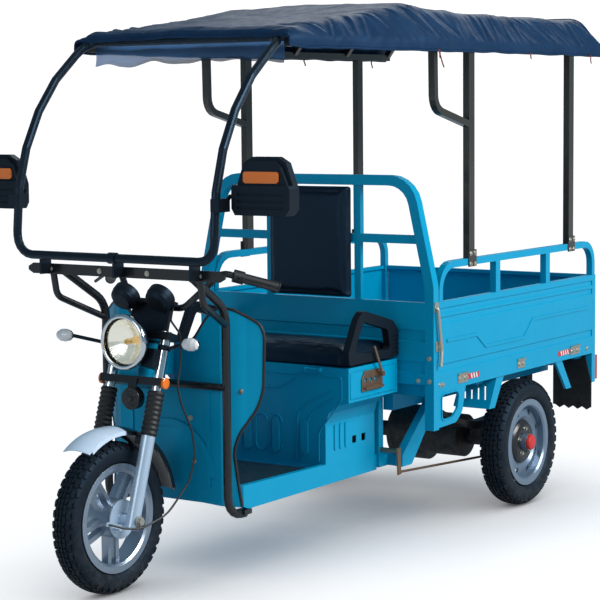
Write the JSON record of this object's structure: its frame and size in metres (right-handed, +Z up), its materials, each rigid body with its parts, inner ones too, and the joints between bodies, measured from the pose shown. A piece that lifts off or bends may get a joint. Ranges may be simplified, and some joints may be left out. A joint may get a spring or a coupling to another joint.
{
  "type": "electric cargo tricycle",
  "caption": "Blue-green covered cargo tricycle with a railed load bed, driver's bench, leg shield, curved windscreen, cloth canopy, steered front wheel and a drop tailgate.",
  "frame": {"origin": "middle of the bounding box on the ground, halfway between the canopy's rear edge and the front tyre's front", "axes": "+X forward, +Y to the vehicle's left, +Z up"},
  "size_m": [2.745, 1.276, 1.872],
  "materials": {
    "teal_paint": "glossy blue-green paint",
    "black_paint": "satin black paint",
    "black_plastic": "moulded, matt",
    "black_vinyl": "coated cloth over foam",
    "canopy_cloth": "coated canvas",
    "clear_sheet": "clear sheet",
    "mirror_face": "silvered",
    "tyre_rubber": "road tyre",
    "black_rubber": "moulded",
    "chrome": "bright plated",
    "alloy": "cast, clear coated",
    "silver_paint": "silver paint",
    "zinc": "zinc plated",
    "dark_iron": "painted casting",
    "red_lens": "clear red",
    "lamp_lens": "fluted clear",
    "clear_lens": "clear lens"
  },
  "bodies": {
    "chassis": {"main_frame": "teal_paint", "floor_pan": "teal_paint", "front_shield": "teal_paint", "seat_box": "teal_paint", "battery_pack": "black_plastic", "brake_controls": "zinc", "front_guard": "black_paint", "windscreen_frame": "black_paint", "windscreen_glass": "clear_sheet", "mirror_shells": "black_plastic", "mirror_glasses": "mirror_face", "bed_frame": "teal_paint", "bed_panels": "teal_paint", "headboard_hoop": "teal_paint", "backrest": "black_vinyl", "side_rails": "teal_paint", "canopy_posts": "black_paint", "canopy_frame": "black_paint", "canopy_cover": "canopy_cloth", "rear_axle": "dark_iron", "leaf_springs": "dark_iron", "wheel_guards": "teal_paint", "mudflaps": "black_rubber", "tail_lamps": "red_lens", "panel_fittings": "zinc"},
    "steering": {"brake_cable": "black_rubber", "fork_clamps": "black_paint", "fork_tubes": "chrome", "fork_gaiters": "black_rubber", "fork_lowers": "alloy", "front_fender": "chrome", "headlamp": "black_plastic", "headlamp_lens": "lamp_lens", "horn": "black_paint", "gauges": "black_plastic", "handlebar": "black_paint", "grips": "black_rubber", "indicators": "black_plastic", "indicator_lenses": "clear_lens"},
    "front_wheel": {"front_tyre": "tyre_rubber", "front_rim": "alloy"},
    "rear_left_wheel": {"rear_left_tyre": "tyre_rubber", "rear_left_rim": "silver_paint"},
    "rear_right_wheel": {"rear_right_tyre": "tyre_rubber", "rear_right_rim": "silver_paint"},
    "tailgate_body": {"tailgate": "teal_paint"},
    "bench": {"seat_cushion": "black_vinyl", "armrests": "black_plastic"}
  },
  "joints": [
    {"name": "steering_turn", "type": "hinge", "parent": "chassis", "child": "steering", "pos_m": [1.08495, 0, 0.22455], "axis": [-0.309, 0, 0.9511], "range_deg": [-32, 32]},
    {"name": "front_wheel_spin", "type": "hinge", "parent": "steering", "child": "front_wheel", "pos_m": [1.1325, 0, 0.24], "axis": [0, 1, 0], "continuous": true},
    {"name": "rear_left_wheel_spin", "type": "hinge", "parent": "chassis", "child": "rear_left_wheel", "pos_m": [-0.7525, 0.458, 0.24], "axis": [0, 1, 0], "continuous": true},
    {"name": "rear_right_wheel_spin", "type": "hinge", "parent": "chassis", "child": "rear_right_wheel", "pos_m": [-0.7525, -0.458, 0.24], "axis": [0, 1, 0], "continuous": true},
    {"name": "tailgate_hinge", "type": "hinge", "parent": "chassis", "child": "tailgate_body", "pos_m": [-1.3285, 0, 0.549], "axis": [0, -1, 0], "range_deg": [0, 175]},
    {"name": "bench_hinge", "type": "hinge", "parent": "chassis", "child": "bench", "pos_m": [0.3065, 0, 0.627], "axis": [0, 1, 0], "range_deg": [0, 85]}
  ]
}
